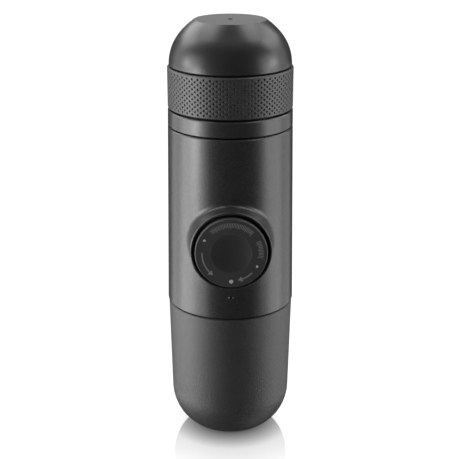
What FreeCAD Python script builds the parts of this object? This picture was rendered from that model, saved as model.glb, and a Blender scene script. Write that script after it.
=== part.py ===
import FreeCAD
import Part
import math
import os

# Handheld manual espresso maker, standing on its water tank with the cup on top.
# Millimetres. Z is up, and the maker's long axis is the Z axis.
# The piston points to the front, along -Y.

# Outside of the maker, from the foot up
tank_height = 58.4
collar_height = 6.1
grip_height = 16.2
dome_height = 17.3
seam = 0.8
seam_bevel = 0.4

foot_radius = 10.4
tank_waist_height = 17.5
tank_lean = 0.9
tank_rim_radius = 25.9
tank_corner_radius = 19.0
tank_corner_turn = 52.0
casing_step = 0.3
casing_mouth_wall = 2.2
grip_step = 0.1
dome_step = 0.65
dome_shoulder_radius = 18.7
dome_shoulder_turn = 39.0
dome_flat_radius = 14.2

# Walls
tank_wall = 1.9
casing_wall = 2.6
cup_wall = 1.7
grip_wall = 1.3
collar_wall = 1.3
frame_wall = 1.4
frame_floor_thickness = 2.4
frame_deck_thickness = 4.5
head_plate_thickness = 2.6

# Clearances between pieces
screw_clearance = 0.3
running_clearance = 0.05
seal_clearance = 0.05
hidden_gap = 0.3
edge_tolerance = 0.01

# Tank joint
tank_neck_depth = 11.0
tank_neck_step = 0.4
spigot_depth = 9.9
gasket_thickness = 1.2
gasket_width = 1.3

# Piston and its boss
floor_room = 10.2
deck_room = 4.2
boss_rim_width = 0.8
boss_flare_slope = 0.09
boss_root_share = 0.4
boss_blend_radius = 2.2
boss_rim_round = 0.6
knob_wall = 1.85
knob_skirt_room = 0.4
knob_face_thickness = 2.5
knob_edge_round = 0.4
knob_proud = 2.0
dish_radius = 8.0
dish_depth = 1.1
knob_hub_wall = 4.1
knob_hub_length = 3.5
piston_stroke = 24.0
piston_turn = 60.0
lug_thickness = 1.5
lug_height = 1.45
lug_width_angle = 40.0
ledge_thickness = 1.5
ledge_gap = 0.2
ledge_extra_angle = 4.0
stop_rib_angle = 4.0
guide_length = 4.2
guide_wall = 1.1
guide_inset = 1.9
barrel_wall = 1.9

# Pump
pump_bore_radius = 7.05
pump_wall = 1.95
pump_flange_width = 2.0
pump_flange_thickness = 1.5
barrel_back_thickness = 2.0
pump_socket_depth = 3.0
pump_socket_wall = 2.0
chamber_radius = 5.0
chamber_depth = 4.6
plunger_head_length = 6.5
plunger_end_gap = 0.5
plunger_tip_round = 0.4
plunger_rod_radius = 4.5
plunger_groove_width = 1.7
plunger_groove_offset = 2.2
plunger_seal_thickness = 1.5
static_ring_thickness = 1.0
ring_groove_play = 1.1
washer_thickness = 1.0
washer_lip = 0.5
spring_wire = 1.4
spring_room = 1.0
spring_turns = 7
spring_closed_pitch = 1.7

# Valves and water ways
passage_radius = 1.6
passage_wall = 1.8
valve_bore_radius = 4.4
valve_housing_wall = 1.8
valve_seat_thickness = 2.0
valve_cap_radius = 3.7
valve_cap_thickness = 0.9
valve_stem_radius = 0.8
valve_stem_length = 3.4
valve_bead_radius = 1.2
valve_bead_length = 0.8
valve_travel_room = 2.2
valve_port_radius = 0.6
valve_port_count = 6
valve_port_circle = 2.6
strainer_thickness = 0.6
strainer_hole_radius = 0.45
strainer_rows = 2
side_wall_thickness = 2.2
side_wall_spacing = 17.0
side_wall_length = 32.0

# Brewing head
brew_gasket_thickness = 1.4
basket_wall = 0.5
basket_radius = 17.6
basket_height = 13.1
basket_rim_thickness = 0.8
basket_hole_radius = 0.55
basket_rows = 3
brew_room = 1.4
screen_inset = 0.9
screen_thickness = 0.8
screen_hole_radius = 0.6
screen_rows = 3
screen_land = 1.2
screen_room = 1.8
screw_head_radius = 2.6
screw_head_height = 1.2
screw_shank_radius = 1.2
screw_shank_length = 7.0
screw_post_radius = 2.4
head_spigot_height = 12.0
head_skirt_length = 14.3
cup_spigot_height = 8.6
cup_spigot_wall = 1.9
cup_ring_thickness = 1.6
cup_ring_height = 4.3
dish_corner = 1.6
nozzle_hub_radius = 4.6
nozzle_hub_height = 5.0
nozzle_length = 9.0
nozzle_flange_radius = 4.1
nozzle_flange_thickness = 1.6
nozzle_base_radius = 3.3
nozzle_tip_radius = 2.1
nozzle_shank_radius = 2.4
nozzle_shank_length = 3.0
nozzle_bore_radius = 0.9
nozzle_flange_round = 0.3
nozzle_tip_round = 0.4

# Cup and scoop
cup_ledge = 0.6
cup_dome_wall = 1.9
grip_lip_width = 0.35
scoop_wall = 1.2
scoop_spout_room = 1.5
scoop_floor_thickness = 1.5
scoop_flange_width = 1.1
scoop_flange_thickness = 1.0
scoop_round = 1.6

# Screws that hold the frame in the casing
casing_screw_count = 4
casing_screw_room = 1.3
casing_screw_head_radius = 2.3
casing_screw_head_height = 1.8
casing_screw_shank_radius = 1.25
casing_screw_length = 11.0
pillar_radius = 2.9
pillar_height = 11.5
pillar_web = 1.8

# Radii across the pump axis, each from the one inside it
pump_outer_radius = pump_bore_radius + pump_wall
pump_flange_radius = pump_outer_radius + pump_flange_width
spring_radius = pump_outer_radius + spring_room + spring_wire / 2
washer_radius = spring_radius + spring_wire / 2 + washer_lip
knob_inner_radius = washer_radius + knob_skirt_room
knob_radius = knob_inner_radius + knob_wall
knob_hub_radius = plunger_rod_radius + knob_hub_wall
boss_bore_radius = knob_radius + running_clearance + guide_wall
barrel_radius = knob_radius + lug_height + hidden_gap
barrel_outer_radius = barrel_radius + barrel_wall

# Distances along the pump axis, counted forward from the long axis
lug_front = lug_thickness - hidden_gap
lug_back = -hidden_gap
guide_back = lug_front + piston_stroke + ledge_gap
boss_reach = guide_back + guide_length + guide_inset
knob_face = boss_reach + knob_proud
knob_inside = knob_face - knob_face_thickness
washer_front = lug_back - ledge_gap
washer_back = washer_front - washer_thickness
barrel_back = washer_back - pump_flange_thickness
socket_back = barrel_back - barrel_back_thickness - pump_socket_depth
plunger_tip = socket_back + plunger_end_gap
pump_mouth = plunger_tip + plunger_head_length + piston_stroke
passage_offset = -socket_back + chamber_depth / 2

# Levels on the long axis, from the tank up through the pump and the brewing stack
casing_foot = tank_height + seam
frame_foot = tank_height + gasket_thickness
frame_floor = frame_foot + frame_floor_thickness
piston_height = frame_floor + floor_room + barrel_outer_radius
deck_foot = piston_height + barrel_outer_radius + deck_room
deck_top = deck_foot + frame_deck_thickness
basket_foot = deck_top + brew_gasket_thickness
basket_top = basket_foot + basket_height
head_ceiling = basket_top + brew_room
dish_floor = head_ceiling + head_plate_thickness
collar_foot = head_ceiling + brew_room
casing_top = collar_foot - seam
casing_height = casing_top - casing_foot
collar_top = collar_foot + collar_height
grip_foot = collar_top + seam
grip_top = grip_foot + grip_height
dome_foot = grip_top + seam
dome_top = dome_foot + dome_height

# Radii of the brewing stack, each from the one inside it
screen_radius = basket_radius - basket_wall - screen_inset
head_tube_inner = basket_radius + screw_clearance
head_tube_outer = head_tube_inner + frame_wall
deck_spigot_inner = head_tube_outer + screw_clearance
deck_spigot_outer = deck_spigot_inner + frame_wall
head_skirt_inner = deck_spigot_outer + screw_clearance
head_skirt_outer = head_skirt_inner + collar_wall
casing_mouth_radius = head_skirt_outer + screw_clearance
casing_top_radius = casing_mouth_radius + casing_mouth_wall

# Radii of the cup joint, from the casing's top in
grip_radius = casing_top_radius - grip_step
dome_foot_radius = grip_radius - dome_step
cup_skirt_outer = grip_radius - grip_wall
cup_skirt_inner = cup_skirt_outer - cup_wall
cup_spigot_outer = cup_skirt_inner - screw_clearance
cup_spigot_inner = cup_spigot_outer - cup_spigot_wall
cup_spigot_top = collar_top + cup_spigot_height
scoop_radius = cup_spigot_inner - dish_corner - hidden_gap - scoop_flange_width
scoop_height = nozzle_hub_height + nozzle_length + scoop_spout_room + scoop_floor_thickness

# Radii of the tank joint, from the tank's rim in and out
tank_waist_radius = tank_rim_radius - tank_lean
casing_foot_radius = tank_rim_radius + casing_step
neck_radius = tank_rim_radius - tank_wall - running_clearance * 2
frame_spigot_outer = neck_radius - screw_clearance
frame_spigot_inner = frame_spigot_outer - frame_wall
casing_screw_circle = frame_spigot_inner - casing_screw_head_radius - casing_screw_room
gasket_inner = frame_spigot_outer + seal_clearance
gasket_outer = gasket_inner + gasket_width
casing_rebate_radius = gasket_outer + hidden_gap


def at(radius, height):
    """A point of an outline that is turned about the long axis."""
    return FreeCAD.Vector(radius, 0, height)


def unit(vector):
    """The same direction, one long."""
    return FreeCAD.Vector(vector).normalize()


def line(start, end):
    """A straight edge between two points."""
    return Part.LineSegment(start, end).toShape()


def bend(start, heading, end):
    """The arc that leaves start along heading and reaches end, and its heading there."""
    chord = end - start
    ahead = unit(chord)
    heading = unit(heading)
    turn = heading.getAngle(ahead)
    side = heading - ahead * heading.dot(ahead)
    middle = start + chord * 0.5 + unit(side) * (chord.Length / 2 * math.tan(turn / 2))
    arrival = ahead * (2 * heading.dot(ahead)) - heading
    return Part.Arc(start, middle, end).toShape(), arrival


def rounded(*corners):
    """A closed outline through (radius, height) corners. A third value rounds the corner."""
    spots = [at(corner[0], corner[1]) for corner in corners]
    stops = []
    for index, corner in enumerate(corners):
        spot = spots[index]
        if len(corner) < 3:
            stops.append((spot, None, spot))
            continue
        before = unit(spots[index - 1] - spot)
        after = unit(spots[(index + 1) % len(spots)] - spot)
        inward = unit(before + after)
        half = before.getAngle(after) / 2
        reach = corner[2] / math.tan(half)
        middle = spot + inward * (corner[2] / math.sin(half) - corner[2])
        stops.append((spot + before * reach, middle, spot + after * reach))
    edges = []
    for index, (first, middle, last) in enumerate(stops):
        edges.append(line(stops[index - 1][2], first))
        if middle is not None:
            edges.append(Part.Arc(first, middle, last).toShape())
    return edges


def lathe(edges):
    """The solid that a closed outline makes when it is turned about the long axis."""
    face = Part.Face(Part.Wire(edges))
    solid = face.revolve(FreeCAD.Vector(0, 0, 0), FreeCAD.Vector(0, 0, 1), 360)
    return solid


def turned(*corners):
    """A turned solid from its corners."""
    return lathe(rounded(*corners))


def ring(inner, outer, foot, top):
    """A plain ring between two radii and two levels."""
    return turned((inner, foot), (outer, foot), (outer, top), (inner, top))


def rod(radius, foot, top, x=0.0, y=0.0):
    """An upright round bar."""
    return Part.makeCylinder(radius, top - foot, FreeCAD.Vector(x, y, foot))


def block(width, depth, foot, top, x=0.0, y=0.0):
    """An upright block, centred on x and y."""
    corner = FreeCAD.Vector(x - width / 2, y - depth / 2, foot)
    return Part.makeBox(width, depth, top - foot, corner)


def sector(inner, outer, foot, top, middle, width):
    """A part of a ring, width degrees wide about the direction middle."""
    axis = FreeCAD.Vector(0, 0, 1)
    start = FreeCAD.Vector(0, 0, foot)
    solid = Part.makeCylinder(outer, top - foot, start, axis, width)
    solid = solid.cut(Part.makeCylinder(inner, top - foot, start, axis, width))
    solid.rotate(FreeCAD.Vector(0, 0, 0), axis, middle - width / 2)
    return solid


def forward(solid):
    """Lays a solid that was built along Z onto the pump axis, its top to the front."""
    solid.rotate(FreeCAD.Vector(0, 0, 0), FreeCAD.Vector(1, 0, 0), 90)
    solid.translate(FreeCAD.Vector(0, 0, piston_height))
    return solid


def hole_rows(radius, rows, reach, foot, top, first_row=0):
    """Round holes in rings about the axis, six more in each ring than in the last."""
    holes = []
    for row in range(first_row, rows):
        count = max(1, 6 * row)
        distance = reach * row / (rows - 1) if rows > 1 else 0.0
        for index in range(count):
            angle = 2 * math.pi * index / count
            holes.append(rod(radius, foot, top, distance * math.cos(angle), distance * math.sin(angle)))
    return holes


def seal_ring(outer, height, thickness):
    """A soft ring of eight-sided section, by its outside radius and its middle level."""
    half = thickness / 2
    short = half * math.tan(math.pi / 8)
    middle = outer - half
    return turned(
        (middle - half, height - short),
        (middle - short, height - half),
        (middle + short, height - half),
        (middle + half, height - short),
        (middle + half, height + short),
        (middle + short, height + half),
        (middle - short, height + half),
        (middle - half, height + short),
    )


def casing_radius(height):
    """Outside radius of the tapered casing and collar at a level."""
    share = (height - casing_foot) / casing_height
    return casing_foot_radius + (casing_top_radius - casing_foot_radius) * share


def tank_side(inset, top, floor):
    """The tank's side at an inset: a leaning wall above a round corner of two arcs."""
    turn = math.radians(tank_corner_turn)
    lean = (tank_rim_radius - tank_waist_radius) / (tank_height - tank_waist_height)
    corner = tank_corner_radius - inset
    waist = at(tank_waist_radius - inset, tank_waist_height)
    upper = at(waist.x + lean * (top - tank_waist_height), top)
    knee = waist - at(corner * (1 - math.cos(turn)), corner * math.sin(turn))
    edge = at(foot_radius, floor)
    side = bend(waist, at(0, -1), knee)[0]
    under = bend(knee, at(-math.sin(turn), -math.cos(turn)), edge)[0]
    return upper, [line(upper, waist), side, under, line(edge, at(0, floor))]


def water_tank():
    """Open tank with a round bottom corner, a flat foot and a neck for the frame's spigot."""
    bevel_foot = tank_height - seam_bevel
    axis_top = at(0, tank_height)
    upper, side = tank_side(0.0, bevel_foot, 0.0)
    land = at(tank_rim_radius - seam_bevel, tank_height)
    body = lathe([line(axis_top, land), line(land, upper)] + side + [line(at(0, 0), axis_top)])
    step = at(0, tank_height - tank_neck_depth)
    upper, side = tank_side(tank_wall, step.z, tank_wall)
    body = body.cut(lathe([line(step, upper)] + side + [line(at(0, tank_wall), step)]))
    return body.cut(rod(neck_radius, step.z, tank_height))


def tank_gasket():
    """Flat seal between the tank's rim and the casing."""
    return ring(gasket_inner, gasket_outer, tank_height, frame_foot)


def boss_edges(shape):
    """The edges where the boss meets the side of the casing."""
    found = []
    for edge in shape.Edges:
        box = edge.BoundBox
        if box.YMax < -1.0 and box.YLength > 1.0 and box.ZLength > boss_bore_radius:
            found.append(edge)
    return found


def flat_at_front(edge):
    """Whether an edge lies flat on the front of the boss."""
    box = edge.BoundBox
    return box.YLength < edge_tolerance and box.YMin < edge_tolerance - boss_reach


def casing():
    """Tapered outer shell with the flared boss that carries the piston."""
    bevel_foot = casing_top - seam_bevel
    body = turned(
        (0, casing_foot),
        (casing_foot_radius, casing_foot),
        (casing_radius(bevel_foot), bevel_foot),
        (casing_top_radius - seam_bevel, casing_top),
        (0, casing_top),
    )
    rim_radius = boss_bore_radius + boss_rim_width
    root = casing_foot_radius * boss_root_share
    root_radius = rim_radius + boss_flare_slope * (boss_reach - root)
    boss = Part.makeCone(root_radius, rim_radius, boss_reach - root, at(0, root))
    body = body.fuse(forward(boss))
    body = body.makeFillet(boss_blend_radius, boss_edges(body))
    rim = [edge for edge in body.Edges if flat_at_front(edge)]
    body = body.makeFillet(boss_rim_round, rim)
    inside = turned(
        (0, frame_floor),
        (casing_radius(frame_floor) - casing_wall, frame_floor),
        (casing_radius(deck_top) - casing_wall, deck_top),
        (casing_mouth_radius, deck_top),
        (casing_mouth_radius, casing_top),
        (0, casing_top),
    )
    body = body.cut(inside)
    body = body.cut(rod(casing_rebate_radius, casing_foot, frame_foot))
    body = body.cut(rod(flange_radius(), frame_foot, frame_floor))
    body = body.cut(forward(rod(boss_bore_radius, guide_back, boss_reach)))
    body = body.cut(forward(rod(barrel_radius, root, guide_back)))
    return body.fuse(pillars()).removeSplitter()


def flange_radius():
    """Radius of the frame's flange, a little larger than the casing's bore above it."""
    return casing_radius(frame_floor) - casing_wall + tank_neck_step


def screw_angles():
    """Directions of the casing's screws."""
    return [360.0 * (index + 0.5) / casing_screw_count for index in range(casing_screw_count)]


def pillars():
    """Screw pillars inside the casing, each joined to its wall by a web."""
    wall = casing_radius(frame_floor) - casing_wall
    top = frame_floor + pillar_height
    solids = []
    for angle in screw_angles():
        pillar = rod(pillar_radius, frame_floor, top, casing_screw_circle)
        web_length = wall + casing_wall / 2 - casing_screw_circle
        web = block(web_length, pillar_web, frame_floor, top, casing_screw_circle + web_length / 2)
        pillar = pillar.fuse(web)
        pilot = rod(casing_screw_shank_radius, frame_floor, top, casing_screw_circle)
        pillar = pillar.cut(pilot)
        pillar.rotate(FreeCAD.Vector(0, 0, 0), FreeCAD.Vector(0, 0, 1), angle)
        solids.append(pillar)
    return solids


def casing_screws():
    """The screws that pull the frame against the casing, from inside the tank's joint."""
    solids = []
    head_foot = frame_foot - casing_screw_head_height
    for angle in screw_angles():
        screw = turned(
            (0, head_foot),
            (casing_screw_head_radius - casing_screw_head_height / 3, head_foot),
            (casing_screw_head_radius, head_foot + casing_screw_head_height / 3),
            (casing_screw_head_radius, frame_foot),
            (casing_screw_shank_radius, frame_foot),
            (casing_screw_shank_radius, frame_foot + casing_screw_length),
            (0, frame_foot + casing_screw_length),
        )
        slot_depth = casing_screw_head_height / 3
        drive = block(casing_screw_head_radius * 2, slot_depth, head_foot, head_foot + slot_depth)
        screw = screw.cut(drive)
        screw.translate(FreeCAD.Vector(casing_screw_circle, 0, 0))
        screw.rotate(FreeCAD.Vector(0, 0, 0), FreeCAD.Vector(0, 0, 1), angle)
        solids.append(screw)
    return Part.makeCompound(solids)


def inside_valve(seat_foot):
    """The levels of a valve's seat, from its foot: seat top, stem end and cap top."""
    seat_top = seat_foot + valve_seat_thickness
    return seat_top, seat_top - valve_stem_length, seat_top + valve_cap_thickness


def inlet_seat_foot():
    """Foot of the inlet valve's seat, above the strainer and the valve's hanging stem."""
    stem_room = valve_stem_length - valve_seat_thickness + hidden_gap
    return frame_foot + strainer_thickness + stem_room


def outlet_seat_foot():
    """Foot of the outlet valve's seat, flush with the floor of the room under the screen."""
    return screen_foot() - screen_room - valve_seat_thickness


def screen_foot():
    """Underside of the shower screen, which lies flush in the deck."""
    return deck_top - screen_thickness


def water_ways():
    """The bores that lead water from the tank through both valves to the shower screen."""
    inlet_room = inside_valve(inlet_seat_foot())[2] + valve_travel_room
    outlet_room = inside_valve(outlet_seat_foot())[1] - hidden_gap
    room_floor = screen_foot() - screen_room
    bores = [
        rod(valve_bore_radius, frame_foot, inlet_room, 0, passage_offset),
        rod(passage_radius, frame_foot, outlet_room, 0, passage_offset),
        rod(valve_bore_radius, outlet_room, room_floor, 0, passage_offset),
        ring(screw_post_radius, screen_radius - screen_land, room_floor, screen_foot()),
        rod(screen_radius, screen_foot(), deck_top),
    ]
    return bores


def pump_housing():
    """Barrel round the piston with the socket of the pump cylinder behind it."""
    chamber_back = socket_back - chamber_depth
    barrel = rod(barrel_outer_radius, barrel_back - barrel_back_thickness, boss_reach)
    socket = rod(pump_outer_radius + pump_socket_wall, chamber_back - pump_socket_wall, barrel_back)
    housing = forward(barrel.fuse(socket))
    room = casing_radius(piston_height + barrel_outer_radius) - casing_wall - hidden_gap
    return housing.common(rod(room, frame_floor, deck_foot))


def pump_bores():
    """The hollows of the housing: piston barrel, cylinder socket and pump chamber."""
    barrel = rod(barrel_radius, barrel_back, boss_reach)
    socket = rod(pump_outer_radius, socket_back, barrel_back)
    chamber = rod(chamber_radius, socket_back - chamber_depth, socket_back)
    return forward(barrel.fuse([socket, chamber]))


def bayonet():
    """Two ledges that hold the piston's lugs when it is turned home, and two turn stops."""
    inner = knob_radius + hidden_gap
    outer = barrel_radius + barrel_wall / 2
    front = lug_front + ledge_gap
    width = lug_width_angle + ledge_extra_angle
    solids = []
    for angle in (0.0, 180.0):
        solids.append(sector(inner, outer, front, front + ledge_thickness, angle, width))
    reach = (lug_width_angle + stop_rib_angle) / 2 + ledge_extra_angle / 2
    for angle in (-reach, piston_turn + reach):
        solids.append(sector(inner, outer, lug_back, front + ledge_thickness, angle, stop_rib_angle))
    return [forward(solid) for solid in solids]


def pump_frame():
    """Moulded inner frame: tank spigot, floor, piston barrel, water tubes, deck and its spigot."""
    housing_radius = valve_bore_radius + valve_housing_wall
    inlet_room = inside_valve(inlet_seat_foot())[2] + valve_travel_room + valve_housing_wall
    outlet_room = inside_valve(outlet_seat_foot())[1] - hidden_gap - valve_housing_wall
    spigot_top = deck_top + head_spigot_height
    frame = rod(flange_radius(), frame_foot, frame_floor)
    parts = [
        ring(frame_spigot_inner, frame_spigot_outer, frame_foot - spigot_depth, frame_foot),
        rod(passage_radius + passage_wall, frame_floor, deck_foot, 0, passage_offset),
        rod(housing_radius, frame_floor, inlet_room, 0, passage_offset),
        rod(housing_radius, outlet_room, deck_foot, 0, passage_offset),
        rod(screw_post_radius + frame_wall, deck_top - screw_shank_length - frame_wall, deck_foot),
        rod(deck_spigot_outer, deck_foot, deck_top),
        ring(deck_spigot_inner, deck_spigot_outer, deck_top, spigot_top),
        pump_housing(),
    ]
    for side in (-1, 1):
        x = side * side_wall_spacing / 2
        parts.append(block(side_wall_thickness, side_wall_length, frame_floor, deck_foot, x))
    frame = frame.fuse(parts)
    frame = frame.cut([pump_bores()] + water_ways() + screw_holes())
    return frame.fuse(bayonet()).removeSplitter()


def screw_holes():
    """Holes for the casing's screws in the floor and for the screen's screw in its post."""
    holes = [rod(screw_shank_radius, deck_top - screw_shank_length, deck_top)]
    for angle in screw_angles():
        x = casing_screw_circle * math.cos(math.radians(angle))
        y = casing_screw_circle * math.sin(math.radians(angle))
        holes.append(rod(casing_screw_shank_radius + hidden_gap, frame_foot, frame_floor, x, y))
    return holes


def pump_cylinder():
    """Smooth tube that the plunger runs in, with a flange against the barrel's back."""
    tube = rod(pump_outer_radius, socket_back, pump_mouth)
    flange = rod(pump_flange_radius, barrel_back, barrel_back + pump_flange_thickness)
    tube = tube.fuse(flange).cut(rod(pump_bore_radius, socket_back, pump_mouth))
    centre = static_ring_level()
    width = static_ring_thickness * ring_groove_play
    depth = pump_outer_radius - static_ring_thickness
    groove = ring(depth, pump_outer_radius + 1, centre - width / 2, centre + width / 2)
    return forward(tube.cut(groove).removeSplitter())


def static_ring_level():
    """Middle of the seal between the pump cylinder and its socket."""
    return (socket_back + barrel_back) / 2


def cylinder_seal():
    """Seal round the back of the pump cylinder."""
    return forward(seal_ring(pump_outer_radius, static_ring_level(), static_ring_thickness))


def piston_guide():
    """Slide bush in the boss, which also stops the piston's lugs at full stroke."""
    inner = knob_radius + running_clearance
    return forward(turned(
        (inner, guide_back),
        (boss_bore_radius, guide_back),
        (boss_bore_radius, guide_back + guide_length),
        (inner + hidden_gap, guide_back + guide_length),
        (inner, guide_back + guide_length - hidden_gap),
    ))


def spring_washer():
    """Flat washer that lets the spring turn with the piston."""
    inner = pump_outer_radius + hidden_gap
    return forward(ring(inner, washer_radius, washer_back, washer_front))


def spring_climb(turn, open_pitch):
    """Climb of the spring's wire after some turns: closed at both ends, open between."""
    extra = open_pitch - spring_closed_pitch
    if turn > spring_turns / 2:
        whole = spring_closed_pitch + open_pitch * (spring_turns - 1)
        return whole - spring_climb(spring_turns - turn, open_pitch)
    if turn < 1:
        return spring_closed_pitch * turn + extra * (turn**3 - turn**4 / 2)
    return spring_closed_pitch + extra / 2 + open_pitch * (turn - 1)


def spring_point(turn, foot, open_pitch):
    """A point on the centre line of the spring's wire."""
    angle = 2 * math.pi * turn
    height = foot + spring_climb(turn, open_pitch)
    return FreeCAD.Vector(spring_radius * math.cos(angle), spring_radius * math.sin(angle), height)


def spring_heading(turn, foot, open_pitch):
    """The wire's direction at a point of its centre line."""
    step = 0.001
    before = spring_point(max(turn - step, 0), foot, open_pitch)
    after = spring_point(min(turn + step, spring_turns), foot, open_pitch)
    return unit(after - before)


def biarc(start, leave, end, arrive):
    """Two arcs that join two points with the given directions at both."""
    chord = end - start
    both = leave + arrive
    open_share = 2 * (1 - leave.dot(arrive))
    lean = chord.dot(both)
    reach = (math.sqrt(lean**2 + open_share * chord.dot(chord)) - lean) / open_share
    joint = (start + end + (leave - arrive) * reach) * 0.5
    first, heading = bend(start, leave, joint)
    return [first, bend(joint, heading, end)[0]]


def eight_sides(radius, centre, axis):
    """The edges of an eight-sided wire section, square to the wire."""
    across = unit(axis.cross(FreeCAD.Vector(0, 0, 1)))
    up = across.cross(axis)
    corners = []
    for index in range(9):
        angle = math.pi * (index + 0.5) / 4
        corners.append(centre + across * (radius * math.cos(angle)) + up * (radius * math.sin(angle)))
    return [line(first, last) for first, last in zip(corners, corners[1:])]


def piston_spring():
    """Return spring between the washer and the piston, stored pressed together."""
    foot = washer_front + spring_wire / 2 + running_clearance
    length = knob_inside - spring_wire / 2 - running_clearance - foot
    open_pitch = (length - spring_closed_pitch) / (spring_turns - 1)
    steps = [index / 4 for index in range(4 * spring_turns + 1)]
    points = [spring_point(turn, foot, open_pitch) for turn in steps]
    headings = [spring_heading(turn, foot, open_pitch) for turn in steps]
    edges = []
    for index in range(len(steps) - 1):
        edges += biarc(points[index], headings[index], points[index + 1], headings[index + 1])
    path = Part.Wire(edges)
    section = Part.Wire(eight_sides(spring_wire / 2, points[0], headings[0]))
    return forward(path.makePipeShell([section], True, False))


def piston_knob():
    """Thumb piston: dished face, skirt that slides in the guide, and two lock lugs."""
    hub_end = knob_inside - knob_hub_length
    knob = turned(
        (0, hub_end),
        (knob_hub_radius, hub_end),
        (knob_hub_radius, knob_inside),
        (knob_inner_radius, knob_inside),
        (knob_inner_radius, lug_back),
        (knob_radius, lug_back),
        (knob_radius, knob_face, knob_edge_round),
        (0, knob_face),
    )
    ball = (dish_radius**2 + dish_depth**2) / (2 * dish_depth)
    knob = knob.cut(Part.makeSphere(ball, at(0, knob_face - dish_depth + ball)))
    knob = knob.cut(rod(plunger_rod_radius, hub_end, knob_inside))
    lug_root = knob_radius - knob_wall / 2
    lug_tip = knob_radius + lug_height
    for angle in (0.0, 180.0):
        knob = knob.fuse(sector(lug_root, lug_tip, lug_back, lug_front, angle, lug_width_angle))
    return forward(knob.removeSplitter())


def plunger():
    """Rod fixed in the piston's hub, with the grooved head that pumps."""
    head = pump_bore_radius - running_clearance
    groove_foot = plunger_tip + plunger_groove_offset
    groove = pump_bore_radius - seal_clearance - plunger_seal_thickness
    return forward(turned(
        (0, plunger_tip),
        (head, plunger_tip, plunger_tip_round),
        (head, groove_foot),
        (groove, groove_foot),
        (groove, groove_foot + plunger_groove_width),
        (head, groove_foot + plunger_groove_width),
        (head, plunger_tip + plunger_head_length),
        (plunger_rod_radius, plunger_tip + plunger_head_length),
        (plunger_rod_radius, knob_inside),
        (0, knob_inside),
    ))


def plunger_seal():
    """Seal in the plunger's groove."""
    middle = plunger_tip + plunger_groove_offset + plunger_groove_width / 2
    return forward(seal_ring(pump_bore_radius - seal_clearance, middle, plunger_seal_thickness))


def valve_seat(foot):
    """Pressed-in disc with a ring of ports round the hole for the valve's stem."""
    top = foot + valve_seat_thickness
    seat = rod(valve_bore_radius, foot, top, 0, passage_offset)
    holes = [rod(valve_stem_radius, foot, top, 0, passage_offset)]
    for index in range(valve_port_count):
        angle = 2 * math.pi * index / valve_port_count
        x = valve_port_circle * math.cos(angle)
        y = passage_offset + valve_port_circle * math.sin(angle)
        holes.append(rod(valve_port_radius, foot, top, x, y))
    return seat.cut(holes)


def umbrella_valve(foot):
    """Soft valve that lies over the ports of its seat and is held by a beaded stem."""
    seat_top, stem_end, cap_top = inside_valve(foot)
    valve = turned(
        (0, stem_end),
        (valve_bead_radius, stem_end),
        (valve_bead_radius, stem_end + valve_bead_length),
        (valve_stem_radius, foot),
        (valve_stem_radius, seat_top),
        (valve_cap_radius, seat_top),
        (valve_cap_radius, seat_top + valve_cap_thickness / 2),
        (0, cap_top),
    )
    valve.translate(FreeCAD.Vector(0, passage_offset, 0))
    return valve


def inlet_strainer():
    """Perforated disc that keeps grit out of the pump."""
    top = frame_foot + strainer_thickness
    reach = valve_bore_radius - strainer_hole_radius * 3
    disc = rod(valve_bore_radius, frame_foot, top)
    disc = disc.cut(hole_rows(strainer_hole_radius, strainer_rows, reach, frame_foot, top))
    disc.translate(FreeCAD.Vector(0, passage_offset, 0))
    return disc


def shower_screen():
    """Perforated plate that spreads the water over the coffee."""
    reach = screen_radius - screen_land - screen_hole_radius * 2
    plate = rod(screen_radius, screen_foot(), deck_top)
    plate = plate.cut(rod(screw_shank_radius, screen_foot(), deck_top))
    holes = hole_rows(screen_hole_radius, screen_rows, reach, screen_foot(), deck_top, 1)
    return plate.cut(holes)


def screen_screw():
    """Screw that holds the shower screen to its post."""
    top = deck_top + screw_head_height
    screw = turned(
        (0, deck_top - screw_shank_length),
        (screw_shank_radius, deck_top - screw_shank_length),
        (screw_shank_radius, deck_top),
        (screw_head_radius, deck_top),
        (screw_head_radius, top - screw_head_height / 3),
        (screw_head_radius - screw_head_height / 3, top),
        (0, top),
    )
    slot = block(screw_head_radius * 2, screw_head_height / 2, top - screw_head_height / 3, top)
    return screw.cut(slot)


def brew_gasket():
    """Soft ring that seals the basket's rim on the deck."""
    return ring(screen_radius + hidden_gap, deck_spigot_inner, deck_top, basket_foot)


def filter_basket():
    """Thin steel basket, stored mouth down, with its holes at the top."""
    inner = basket_radius - basket_wall
    basket = turned(
        (inner, basket_foot),
        (head_tube_outer, basket_foot),
        (head_tube_outer, basket_foot + basket_rim_thickness),
        (basket_radius, basket_foot + basket_rim_thickness),
        (basket_radius, basket_top - basket_wall),
        (basket_radius - basket_wall, basket_top),
        (0, basket_top),
        (0, basket_top - basket_wall),
        (inner, basket_top - basket_wall),
    )
    reach = inner - basket_hole_radius * 5
    floor = basket_top - basket_wall
    return basket.cut(hole_rows(basket_hole_radius, basket_rows, reach, floor, basket_top))


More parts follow.
